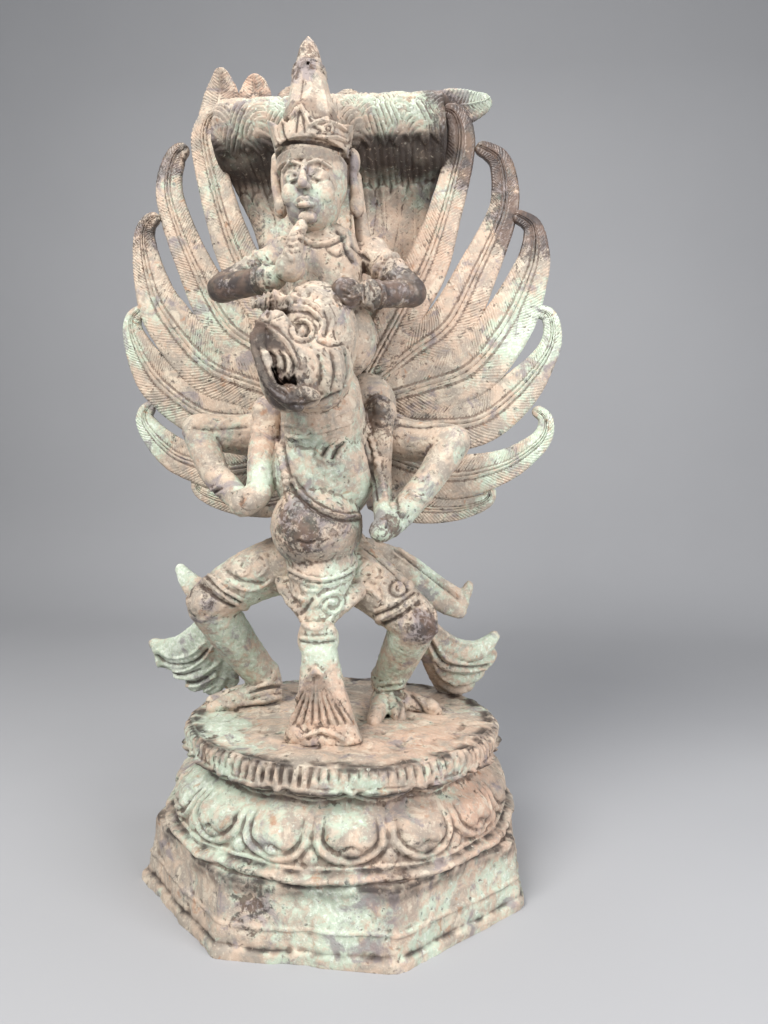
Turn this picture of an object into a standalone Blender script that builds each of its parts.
"""Cast bronze of Vishnu riding the bird-man Garuda, on a round lotus base with an eight-sided foot.

The bronze was cast in one piece, so it is one solid. The base is turned from rings whose outline runs
from a circle to an octagon and carries the lotus petals. The figure is built up from limbs, masses and
flat feathers, as a modeller builds it in wax, and then fused into one skin that grows out of the base.

Sizes are in millimetres. The origin is the middle of the underside, the figure faces -Y and +Z is up.
"""
import math

import bmesh
import bpy
from mathutils import Matrix, Vector

MM = 0.001

# Driving sizes of the base
DISC_RADIUS = 42.0
RIM_HEIGHT = 5.0
RIM_DROP = 0.6
UPPER_PETAL_HEIGHT = 2.8
UPPER_PETAL_INSET = 4.0
WAIST_HEIGHT = 3.4
WAIST_INSET = 5.4
LOTUS_HEIGHT = 8.2
LOTUS_SWELL = 2.9
LOTUS_PETALS = 16
PETAL_DEPTH = 1.9
TORUS_HEIGHT = 3.4
TORUS_OUT = 3.8
FOOT_RADIUS = 52.0
FOOT_HEIGHT = 16.6
FOOT_TAPER = 2.4
LIP_HEIGHT = 2.6
LIP_OUT = 0.9
FOOT_SIDES = 8
RING_STEPS = 96

# Driving sizes of the figure
FIGURE_HEIGHT = 176.0
FIGURE_SHIFT = -1.9
LEAN = 0.049
WING_TILT = 0.8
WING_SHIFT = 0.7
FEATHER_THICKNESS = 3.0
TAIL_THICKNESS = 3.6
SOLE_DEPTH = 1.2

# Fineness of the fused skin
SKIN_VOXEL = 0.75
SKIN_TRIANGLES = 7400
BASE_TRIANGLES = 2600
ROUND_SIDES = 14
PATH_STEPS = 6

# Heights in the base, from the underside up
TORUS_TOP = FOOT_HEIGHT + TORUS_HEIGHT
LOTUS_TOP = TORUS_TOP + LOTUS_HEIGHT
WAIST_TOP = LOTUS_TOP + WAIST_HEIGHT
DISC_TOP = WAIST_TOP + UPPER_PETAL_HEIGHT + RIM_HEIGHT

# The figure was measured with its crown this high above the disc and its soles at this level
MEASURED_HEIGHT = 176.0
MEASURED_SOLES = 39.4
SCALE = FIGURE_HEIGHT / MEASURED_HEIGHT

BRONZE = {"colour": (0.40, 0.36, 0.29, 1.0), "metallic": 0.35, "roughness": 0.72}


def clear_scene():
    """Remove every object that the file opened with."""
    for thing in list(bpy.data.objects):
        bpy.data.objects.remove(thing, do_unlink=True)


def bronze_material():
    """Dull bronze under a pale green and pink patina."""
    material = bpy.data.materials.new("patinated_bronze")
    material.use_nodes = True
    shader = material.node_tree.nodes["Principled BSDF"]
    shader.inputs["Base Color"].default_value = BRONZE["colour"]
    shader.inputs["Metallic"].default_value = BRONZE["metallic"]
    shader.inputs["Roughness"].default_value = BRONZE["roughness"]
    return material


def on_figure(x, y, z):
    """A measured point of the figure, standing on the disc and leaning a little to the viewer's left."""
    rise = (z - MEASURED_SOLES) * SCALE
    drift = FIGURE_SHIFT - LEAN * rise
    return Vector((x * SCALE + drift, y * SCALE, DISC_TOP + rise))


def figure_path(points):
    """Measured points as places on the figure."""
    return [on_figure(*point) for point in points]


def smooth_path(points, sizes, steps=PATH_STEPS):
    """A Catmull-Rom curve through the points, with the sizes carried along it."""
    places = []
    widths = []
    last = len(points) - 1
    for index in range(last):
        before = points[max(index - 1, 0)]
        start = points[index]
        end = points[index + 1]
        after = points[min(index + 2, last)]
        for step in range(steps):
            t = step / steps
            place = 0.5 * (2 * start + (end - before) * t
                           + (2 * before - 5 * start + 4 * end - after) * t ** 2
                           + (3 * start - before - 3 * end + after) * t ** 3)
            places.append(place)
            widths.append(sizes[index] + (sizes[index + 1] - sizes[index]) * t)
    places.append(points[last])
    widths.append(sizes[last])
    return places, widths


def skin_rings(mesh, rings):
    """Close a stack of equal rings of corners into one body."""
    rows = [[mesh.verts.new(corner * MM) for corner in ring] for ring in rings]
    count = len(rows[0])
    for low, high in zip(rows, rows[1:]):
        for index in range(count):
            beside = (index + 1) % count
            mesh.faces.new((low[index], low[beside], high[beside], high[index]))
    mesh.faces.new(list(reversed(rows[0])))
    mesh.faces.new(rows[-1])


def ball(mesh, centre, radii, turn=0.0):
    """An egg-shaped mass, turned about the upright axis by an angle in degrees."""
    place = Matrix.Translation(on_figure(*centre) * MM)
    spin = Matrix.Rotation(math.radians(turn), 4, "Z")
    size = Matrix.Diagonal((*[radius * SCALE * MM for radius in radii], 1.0))
    bmesh.ops.create_uvsphere(mesh, u_segments=20, v_segments=12, radius=1.0, matrix=place @ spin @ size)


def limb(mesh, points, radii, sides=ROUND_SIDES):
    """A round limb through measured points, with a rounded end at each side."""
    places, sizes = smooth_path(figure_path(points), [radius * SCALE for radius in radii])
    rings = []
    last = len(places) - 1
    side = None
    for index, place in enumerate(places):
        along = (places[min(index + 1, last)] - places[max(index - 1, 0)]).normalized()
        if side is None:
            side = along.cross(Vector((0.3, 1.0, 0.2))).normalized()
        side = (side - along * side.dot(along)).normalized()
        other = along.cross(side)
        caps = []
        if index == 0:
            caps = [(-0.8, 0.35), (-0.5, 0.75)]
        rings += [round_ring(place + along * sizes[index] * shift, side, other, sizes[index] * share, sides)
                  for shift, share in caps]
        rings.append(round_ring(place, side, other, sizes[index], sides))
        if index == last:
            rings += [round_ring(place + along * sizes[index] * shift, side, other, sizes[index] * share, sides)
                      for shift, share in [(0.5, 0.75), (0.8, 0.35)]]
    skin_rings(mesh, rings)


def round_ring(centre, side, other, radius, sides):
    """Corners of a ring about a limb."""
    turns = [2 * math.pi * index / sides for index in range(sides)]
    return [centre + (side * math.cos(turn) + other * math.sin(turn)) * radius for turn in turns]


def band(mesh, start, end, share, radius, width):
    """A raised cuff round a limb, at a share of the way along it."""
    low = on_figure(*start)
    high = on_figure(*end)
    along = (high - low).normalized()
    side = along.cross(Vector((0.3, 1.0, 0.2))).normalized()
    middle = low.lerp(high, share)
    skin_rings(mesh, [round_ring(middle + along * width * SCALE * shift, side, along.cross(side),
                                 radius * SCALE * size, ROUND_SIDES)
                      for shift, size in ((-0.5, 0.9), (-0.3, 1.0), (0.3, 1.0), (0.5, 0.9))])


def hoop(mesh, centre, radii, start, end, radius):
    """A round cord lying on an egg-shaped mass, seen from the front between two angles in degrees."""
    points = []
    steps = 10
    for step in range(steps + 1):
        turn = math.radians(start + (end - start) * step / steps)
        points.append((centre[0] + radii[0] * math.cos(turn), centre[1] - radii[1] * 0.42 * abs(math.sin(turn)),
                       centre[2] + radii[2] * math.sin(turn)))
    limb(mesh, points, [radius] * len(points), 8)


# A blade's section: share of the half width, then share of the half thickness
BLADE_SECTION = [(-1.0, -0.5), (-0.5, -0.8), (0.0, -1.15), (0.5, -0.8), (1.0, -0.5),
                 (1.0, 0.5), (0.5, 0.8), (0.0, 1.15), (-0.5, 0.8), (-1.0, 0.5)]


def blade(mesh, places, widths, thickness, facing=Vector((0.0, -1.0, 0.0))):
    """A flat blade along a path, such as a feather or a sash end, as thick as told along its facing."""
    places, widths = smooth_path(places, widths)
    rings = []
    last = len(places) - 1
    for index, place in enumerate(places):
        along = (places[min(index + 1, last)] - places[max(index - 1, 0)]).normalized()
        side = along.cross(facing).normalized()
        front = side.cross(along)
        rings.append([place + side * across * widths[index] / 2 + front * through * thickness / 2
                      for across, through in BLADE_SECTION])
    skin_rings(mesh, rings)


def octagon_radius(angle, apothem):
    """Distance to the side of the eight-sided foot in a direction, with a side facing the front."""
    step = 2 * math.pi / FOOT_SIDES
    off = (angle + math.pi / 2 + step / 2) % step - step / 2
    return apothem / math.cos(off)


def petal_relief(angle, level):
    """How far a lotus petal stands out: full at its root and narrowing to a tip that points down."""
    step = 2 * math.pi / LOTUS_PETALS
    off = abs((angle + math.pi / 2) % step - step / 2) / (step / 2)
    half_width = math.sqrt(max(level, 0.0)) if level < 0.55 else 0.76 + 0.5 * (level - 0.55)
    return math.sqrt(max(0.0, 1.0 - (off / max(half_width, 0.05)) ** 2)) if level > 0.0 else 0.0


def base_rings():
    """Level, radius, how far the outline is eight-sided and how deep the petals are, from the underside up."""
    apothem = FOOT_RADIUS * math.cos(math.pi / FOOT_SIDES)
    waist = DISC_RADIUS - WAIST_INSET
    torus = DISC_RADIUS + TORUS_OUT
    swell = DISC_RADIUS + LOTUS_SWELL - PETAL_DEPTH
    rings = [(0.0, apothem, 1.0, 0.0),
             (LIP_HEIGHT, apothem - 0.4, 1.0, 0.0),
             (LIP_HEIGHT + 0.5, apothem - LIP_OUT, 1.0, 0.0),
             (FOOT_HEIGHT - 0.6, apothem - FOOT_TAPER, 1.0, 0.0),
             (FOOT_HEIGHT, torus + 0.6, 0.0, 0.0),
             (FOOT_HEIGHT + 1.0, torus + 0.6, 0.0, 0.0),
             (FOOT_HEIGHT + 2.0, torus - 1.4, 0.0, 0.0)]
    for level in (0.0, 0.15, 0.32, 0.5, 0.7, 0.88, 1.0):
        bulge = swell + 0.6 - 4.6 * level ** 3
        rings.append((TORUS_TOP + LOTUS_HEIGHT * level, bulge, 0.0, PETAL_DEPTH * (1.0 - 0.5 * level ** 4)))
    rings += [(LOTUS_TOP + 0.9, waist, 0.0, 0.0),
              (WAIST_TOP, waist + 0.8, 0.0, 0.0),
              (WAIST_TOP + UPPER_PETAL_HEIGHT * 0.5, DISC_RADIUS - UPPER_PETAL_INSET, 0.0, 0.0),
              (WAIST_TOP + UPPER_PETAL_HEIGHT, DISC_RADIUS - RIM_DROP, 0.0, 0.0),
              (WAIST_TOP + UPPER_PETAL_HEIGHT + 0.8, DISC_RADIUS + 0.4, 0.0, 0.0),
              (DISC_TOP - 1.0, DISC_RADIUS, 0.0, 0.0),
              (DISC_TOP, DISC_RADIUS - 0.9, 0.0, 0.0)]
    return rings


def make_base():
    """The foot, torus, lotus, waist and disc, as one turned and carved body with a flat underside."""
    mesh = bmesh.new()
    rings = []
    for height, radius, eight_sided, petals in base_rings():
        ring = []
        level = (height - TORUS_TOP) / LOTUS_HEIGHT
        for index in range(RING_STEPS):
            angle = 2 * math.pi * index / RING_STEPS - math.pi / 2 - math.pi / FOOT_SIDES
            reach = radius
            if eight_sided:
                reach = octagon_radius(angle, radius)
            if petals:
                reach += petals * petal_relief(angle, level)
            ring.append(Vector((reach * math.cos(angle), reach * math.sin(angle), height)))
        rings.append(ring)
    skin_rings(mesh, rings)
    return finish(mesh, "vishnu_on_garuda_statue")


def finish(mesh, name):
    """Turn a built-up mesh into an object with its faces pointing out."""
    bmesh.ops.recalc_face_normals(mesh, faces=mesh.faces)
    data = bpy.data.meshes.new(name)
    mesh.to_mesh(data)
    mesh.free()
    thing = bpy.data.objects.new(name, data)
    bpy.context.scene.collection.objects.link(thing)
    return thing


# One wing's feathers from the top down: points (x, z) from root to hook, and the width at each point
FEATHERS = [
    ([(9, 134), (19, 152), (28, 168.7), (34.5, 188.5), (37.8, 203), (36, 210), (32.5, 211)],
     [14, 14.5, 13.5, 10, 8.2, 6, 3.6]),
    ([(10, 131), (22, 141), (33, 149.5), (44.2, 171), (50, 188.8), (48, 199), (42, 201)],
     [14, 15, 14.5, 11, 8.4, 6.4, 3.6]),
    ([(11, 127), (26, 131.5), (39, 137), (52.4, 153.4), (58.2, 171), (56.8, 180), (52, 181)],
     [14, 16, 16, 13, 7.4, 4.8, 3.4]),
    ([(11, 121), (27, 120.5), (40.5, 122.3), (55.7, 132.4), (62.4, 147), (61.2, 153), (57, 154)],
     [14, 15, 14, 12, 6.2, 4.4, 3.4]),
    ([(9, 113), (21, 108.5), (33, 106), (46, 108.5), (57.5, 117), (59.4, 123), (56, 126)],
     [14, 14, 13, 10, 7, 5, 3.4]),
    ([(7, 103), (15, 98.5), (24, 96.5), (34, 96.8), (42, 99.5), (43.6, 103.5)],
     [11, 10, 8.5, 6.5, 4.5, 3]),
]
WING_ROOT_DEPTH = 9.0
WING_TIP_DEPTH = 12.0


def add_wings(mesh):
    """Six flat feathers to each side, overlapping at the shoulder, whose tips hook onto the next one up."""
    tilt = math.tan(math.radians(WING_TILT))
    for side in (-1, 1):
        for order, (points, widths) in enumerate(FEATHERS):
            places = []
            for x, z in points:
                depth = WING_ROOT_DEPTH + (WING_TIP_DEPTH - WING_ROOT_DEPTH) * x / points[-1][0]
                depth += 0.25 * (order % 2)
                places.append(on_figure(side * x + WING_SHIFT, depth, z - side * x * tilt))
            blade(mesh, places, [width * SCALE for width in widths], FEATHER_THICKNESS)


# The tail's path in depth and height, from the back of the figure up, forward and over
TAIL_PROFILE = [(12, 118), (15, 145), (19, 168), (21.5, 184), (17, 193), (9, 197), (5, 202), (6, 209),
                (12.5, 215), (20, 217.5)]
TAIL_HALF_WIDTHS = [12, 17, 24, 29, 32, 33, 32.5, 31.5, 32.5, 35]
# Where each tail feather curls up to behind the roll, from the viewer's left to right: across and up
TAIL_TIPS = [(-39, 236), (-26.5, 233), (-13, 226), (-1, 222), (8, 224), (30, 224), (46, 226.5)]
TAIL_TIP_DEPTH = 28


def add_tail(mesh):
    """Seven broad feathers that rise behind the figure, bend forward over it and curl back at the top."""
    count = len(TAIL_TIPS)
    for index, (tip, top) in enumerate(TAIL_TIPS):
        spread = (2 * index + 1) / count - 1
        points = [(1 + half * spread, depth, height)
                  for (depth, height), half in zip(TAIL_PROFILE, TAIL_HALF_WIDTHS)]
        points.append((tip, TAIL_TIP_DEPTH, top))
        widths = [2.5 * half / count for half in TAIL_HALF_WIDTHS] + [3.4]
        ribbon(mesh, figure_path(points), [width * SCALE for width in widths], TAIL_THICKNESS)


def ribbon(mesh, places, widths, thickness):
    """A blade that keeps its width across X while its path turns in depth and height."""
    places, widths = smooth_path(places, widths)
    rings = []
    last = len(places) - 1
    for index, place in enumerate(places):
        along = (places[min(index + 1, last)] - places[max(index - 1, 0)]).normalized()
        side = Vector((1.0, 0.0, 0.0))
        side = (side - along * side.dot(along)).normalized()
        front = along.cross(side)
        rings.append([place + side * across * widths[index] / 2 + front * through * thickness / 2
                      for across, through in BLADE_SECTION])
    skin_rings(mesh, rings)


def add_garuda(mesh):
    """Garuda: a bird's head turned to the viewer's left, a round belly and legs bent in a wide stance."""
    ball(mesh, (-0.5, -3, 108), (14, 11, 17))
    ball(mesh, (0.5, -9, 107), (12, 11.5, 12.5))
    ball(mesh, (-0.5, -11.5, 91), (12.4, 13.5, 11.8))
    hoop(mesh, (-0.6, -8, 90), (13.6, 14.5, 12.6), 200, 340, 1.1)
    ball(mesh, (-2.5, 1, 84), (12.5, 9.5, 9.5))
    limb(mesh, [(0, -4, 112), (0.8, -13, 119), (1, -18, 126)], [12.5, 11, 10])
    add_garuda_head(mesh)
    for shoulder, elbow, wrist, hand in (
            ((-15.5, -5, 121), (-16, -11, 110), (-16, -15, 100), (-19.5, -18, 96.5)),
            ((15, -4, 121), (16, -10, 109), (16.5, -15, 97), (17.5, -18, 92))):
        ball(mesh, shoulder, (4.6, 5, 5.2))
        limb(mesh, [shoulder, elbow, wrist, hand], [4.2, 3.8, 3.6, 3.6])
    for hip, middle, knee, calf, ankle, toes in (
            ((-8, -1, 82), (-21.5, -5, 77), (-33.2, -6, 69.5), (-28, 3, 56), (-22.5, 10, 45),
             [(-33, 9), (-36.5, 2.5), (-34, -4)]),
            ((3, -1, 81), (12.5, -4, 74.5), (22.6, -6, 66.5), (17.6, 3, 55.5), (12.8, 10.5, 45.5),
             [(11, -8), (17.5, -3), (27, 5)])):
        limb(mesh, [hip, middle, knee], [8.6, 7.4, 6.4])
        limb(mesh, [knee, calf, ankle], [6.4, 5.6, 4.7])
        band(mesh, middle, knee, 0.45, 7.8, 1.6)
        band(mesh, calf, ankle, 0.85, 5.5, 2.2)
        add_foot(mesh, ankle, toes)


def add_garuda_head(mesh):
    """A broad head with a crest, a ringed eye, a heavy hooked beak and a jaw with a gaping mouth."""
    ball(mesh, (1.4, -22, 137.5), (10.2, 12, 13.2))
    ball(mesh, (1.2, -26, 129), (9.4, 10.5, 10.5))
    ball(mesh, (-3.5, -32, 127.5), (6.4, 8.5, 9.5), 35)
    limb(mesh, [(-6.2, -31, 142), (-8.2, -38, 137), (-8.4, -41, 130), (-5.4, -41, 122.5), (-0.6, -38, 118.8)],
         [2.0, 3.4, 2.8, 2.6, 2.2])
    limb(mesh, [(-5, -37, 133), (-1.5, -38, 128), (1.5, -35, 124)], [3.4, 3.2, 3.0])
    ball(mesh, (-0.5, -34.5, 120.8), (4.6, 6, 2.6), 30)
    ball(mesh, (1.4, -33.6, 136.2), (2.6, 2.2, 2.6))
    for share in range(7):
        x = -11.8 + 3.1 * share
        depth = -28 + 2.2 * share
        limb(mesh, [(x, depth, 141.5), (x + 0.5, depth + 1, 145.5), (x + 1.4, depth + 2, 149.6)], [1.3, 1.5, 1.1])


def add_foot(mesh, ankle, toes):
    """A clawed foot: a heel under the ankle and three long toes flat on the disc."""
    sole = MEASURED_SOLES - SOLE_DEPTH
    x, y, _ = ankle
    ball(mesh, (x, y - 1.5, sole + 2.6), (4.8, 6, 4.6))
    for toe_x, toe_y in toes:
        knuckle = ((x + toe_x) / 2, (y + toe_y) / 2, sole + 3.2)
        limb(mesh, [(x, y - 3, sole + 3.4), knuckle, (toe_x, toe_y, sole + 1.8)], [3.0, 2.7, 1.9])


def add_cloths(mesh):
    """The loincloth with its hanging end, which props the figure, and the flying sash ends."""
    sole = MEASURED_SOLES - SOLE_DEPTH
    limb(mesh, [(-1, -11, 82), (-1, -15, 74), (-0.8, -18.5, 66.5)], [9.5, 7, 3.4])
    for side in (-1, 1):
        limb(mesh, [(side * 11 - 1, -8, 76), (side * 6 - 1, -14, 72), (side * 2 - 1, -18.5, 68)], [2.4, 2.6, 2.2])
    blade(mesh, figure_path([(-0.6, -20, 67.5), (-0.6, -20.5, 65), (-0.4, -21, 61.5), (0, -21.5, 58.5)]),
          [7.5, 9.8, 9.8, 8.6], 6.6)
    blade(mesh, figure_path([(-0.2, -21.3, 61), (0.2, -21.8, 52), (0.4, -22.2, 45), (0.4, -22.5, sole)]),
          [8.4, 11.4, 15, 20], 6.8)
    for share in (-1, -0.5, 0, 0.5, 1):
        limb(mesh, [(share * 2 + 0.2, -24.2, 54), (share * 4.6 + 0.3, -25.2, 46), (share * 8 + 0.4, -25.6, sole + 1.4)],
             [0.9, 1.2, 1.5], 8)
    for spread, rise, size in ((0, 0, 1.0), (2.2, -2.4, 0.9), (4.6, -4.6, 0.7)):
        blade(mesh, figure_path([(8 - spread, 3 + spread, 86 + rise), (19, 9 - spread * 0.3, 81 + rise * 0.8),
                                 (29, 13.5 - spread * 0.3, 73.5 + rise * 0.9), (35, 15.5 - spread * 0.3, 70.8 + rise),
                                 (38 - spread, 16, 75.3 + rise * 1.4)]),
              [4.5 * size, 5.5, 5.5, 4.6 * size, 2.0], 3.2)
    for points, widths in SASH_FANS:
        blade(mesh, figure_path([(x, depth, max(height, sole)) for x, depth, height in points]), widths, 3.2)
    blade(mesh, figure_path([(-34, 2, 70), (-42, 6, 72), (-48.5, 10, 78)]), [8, 7, 2.4], 3.2)


# The two sash ends that fan out behind the knees, fold by fold: points and widths
SASH_FANS = [
    ([(20, 0, 69), (27, 10, 60), (33, 16, 55.5), (40, 20, 54.5), (46, 23, 59.5)], [7, 6.5, 6, 6, 2.4]),
    ([(20, 1, 68), (27, 12, 57), (34, 19, 50.5), (41, 24, 50.5), (45, 25, 54)], [7, 6.5, 6.5, 6, 3]),
    ([(20, 2, 67), (27, 15, 54), (34, 22, 46.5), (41.5, 26, 47.5)], [7, 7, 7.5, 4]),
    ([(22, 4, 66), (27.5, 18, 51), (32.5, 25, 43.5), (38.5, 29, 43)], [7, 7.5, 8, 5]),
    ([(22, 6, 65), (26.5, 19, 50), (29.5, 26, 43), (34, 29, 37)], [6, 6.5, 7.5, 9]),
    ([(-33, 2, 67), (-41, 12, 60), (-50, 17, 53.5), (-57, 20, 51), (-62.5, 20, 53)], [8, 6.5, 6, 6, 2.4]),
    ([(-33, 3, 66), (-41, 13, 57), (-49, 18, 49.5), (-56, 21, 47), (-61, 21, 49.5)], [8, 6.5, 6, 6, 3]),
    ([(-33, 5, 64), (-40.5, 15, 54), (-48, 20, 45.5), (-56, 22, 43.5)], [8, 6.5, 6.5, 4]),
    ([(-34, 7, 62), (-40, 17, 51), (-46.5, 22, 42), (-52, 23, 39)], [8, 7, 7, 5]),
    ([(-34, 9, 60), (-38.5, 19, 48.5), (-43.5, 23.5, 40), (-47, 24, 35.5)], [7, 7, 7.5, 5]),
    ([(-34, 10, 58), (-36.5, 19, 48), (-38.5, 23.5, 42), (-39, 25, 37)], [6, 6.5, 7, 8]),
]


def add_vishnu(mesh):
    """Vishnu: seated on the shoulders, one hand raised to the chin, one fist held low, feet held below."""
    ball(mesh, (1.5, -5, 141), (13, 10, 12))
    limb(mesh, [(1.5, -8, 148), (2, -9.5, 156), (2.2, -9.5, 161)], [9.5, 9.5, 9.8])
    limb(mesh, [(2, -10, 163), (1.3, -13, 168.5)], [4.6, 4.2])
    ball(mesh, (0.4, -14.5, 178.5), (8.5, 8.6, 9.5))
    ball(mesh, (0.6, -16, 172.5), (6.9, 7.4, 7.6))
    limb(mesh, [(-0.6, -22.6, 179), (-0.6, -24.2, 174.2)], [1.0, 1.7])
    band(mesh, (0.3, -14.5, 180), (0.3, -14.5, 184), 0.5, 9.2, 3.2)
    for side, shoulder, elbow, wrist, hand in (
            (-1, (-9.4, -8, 162.5), (-25, -14, 152), (-8, -24, 151.5), (-3.5, -28, 154)),
            (1, (14, -7, 162.5), (24.8, -13, 150.8), (13.5, -23, 147.3), (9.5, -25.5, 147))):
        ball(mesh, shoulder, (4.6, 4.8, 5))
        limb(mesh, [shoulder, elbow], [4.4, 3.8])
        limb(mesh, [elbow, wrist], [3.7, 3.1])
        band(mesh, elbow, wrist, 0.88, 3.9, 1.8)
        band(mesh, shoulder, elbow, 0.35, 4.9, 1.6)
        ball(mesh, hand, (3.9, 3.4, 3.8))
    limb(mesh, [(-3, -28, 153.5), (-1.4, -28.5, 158.5), (-0.8, -26, 164)], [3.2, 2.8, 2.2])
    limb(mesh, [(-9, 0, 121), (-21, -1, 115.8), (-34.5, -7, 116.2)], [7.5, 6, 4.6])
    limb(mesh, [(-34.5, -7, 116.2), (-29, -11, 104.5), (-21.5, -15, 98)], [4.6, 3.8, 3.2])
    ball(mesh, (-19.5, -19, 97), (4.4, 5.4, 3.4))
    limb(mesh, [(9, 0, 120), (20, -1, 115), (34, -7, 113.8)], [7.5, 6, 4.8])
    limb(mesh, [(34, -7, 113.8), (27, -11, 103), (19.5, -15, 94)], [4.8, 4, 3.4])
    ball(mesh, (17.5, -19, 92.5), (4.8, 5.4, 4))
    add_crown(mesh)


# The crown's turned outline, measured: height and radius
CROWN_OUTLINE = [(182, 8.4), (187, 8.5), (190, 9.2), (193, 10.2), (194.2, 9.6), (195.2, 6.8), (201.5, 5.3),
                 (204.2, 4.6), (204.8, 5.0), (205.5, 4.5), (206.2, 4.8), (207, 3.9), (213.3, 2.0), (215.6, 0.4)]
CROWN_DEPTH = -14.5


def add_crown(mesh):
    """The tall ringed crown, with a pointed leaf at the front and pendants down the sides of the head."""
    rings = []
    for height, radius in CROWN_OUTLINE:
        centre = on_figure(0.2, CROWN_DEPTH, height)
        rings.append(round_ring(centre, Vector((1, 0, 0)), Vector((0, 1, 0)), radius * SCALE, 24))
    skin_rings(mesh, rings)
    for turn, low, high, width in ((-8, 189, 199.5, 8), (-75, 190, 196.5, 6), (70, 190, 196, 6)):
        outward = Vector((math.sin(math.radians(turn)), -math.cos(math.radians(turn)), 0.0))
        leaf = [on_figure(0.2, CROWN_DEPTH, height) + outward * reach * SCALE
                for height, reach in ((low, 8.6), ((low + high) / 2, 9.6), (high, 8.8))]
        blade(mesh, leaf, [width, width * 0.7, 1.2], 2.4, outward)
    for side in (-1, 1):
        limb(mesh, [(side * 9.4, -12.5, 187), (side * 10.2, -12, 180), (side * 10.2 + 0.8, -11, 173)], [2.2, 2.0, 2.8])
    limb(mesh, [(11.4, -10, 174), (14, -8, 168), (14.4, -7, 163)], [2.2, 2.6, 3])


def evaluated_mesh(thing):
    """The mesh that an object's modifiers give."""
    graph = bpy.context.evaluated_depsgraph_get()
    return bpy.data.meshes.new_from_object(thing.evaluated_get(graph))


def thin_out(thing, wanted):
    """Thin an object's triangles out to the number wanted, most where it is flat."""
    triangles = sum(len(face.vertices) - 2 for face in thing.data.polygons)
    thin = thing.modifiers.new("thin", "DECIMATE")
    thin.ratio = wanted / triangles
    thin.use_collapse_triangulate = True


def fuse_skin(thing):
    """Melt the overlapping masses into one skin of soft forms."""
    remesh = thing.modifiers.new("fuse", "REMESH")
    remesh.mode = "VOXEL"
    remesh.voxel_size = SKIN_VOXEL * MM
    soften = thing.modifiers.new("soften", "SMOOTH")
    soften.factor = 0.5
    soften.iterations = 3
    thing.data = evaluated_mesh(thing)
    thing.modifiers.clear()


def make_figure():
    """Vishnu, Garuda, wings, tail and cloths as one skin, kept as the helper that joins the base."""
    mesh = bmesh.new()
    add_wings(mesh)
    add_tail(mesh)
    add_garuda(mesh)
    add_cloths(mesh)
    add_vishnu(mesh)
    figure = finish(mesh, "figure_guide")
    fuse_skin(figure)
    thin_out(figure, SKIN_TRIANGLES)
    figure.hide_render = True
    figure.display_type = "WIRE"
    return figure


def main():
    """Build the bronze: the base with the figure grown onto its disc."""
    clear_scene()
    figure = make_figure()
    statue = make_base()
    thin_out(statue, BASE_TRIANGLES)
    join = statue.modifiers.new("figure", "BOOLEAN")
    join.operation = "UNION"
    join.solver = "EXACT"
    join.object = figure
    statue.data.materials.append(bronze_material())


main()
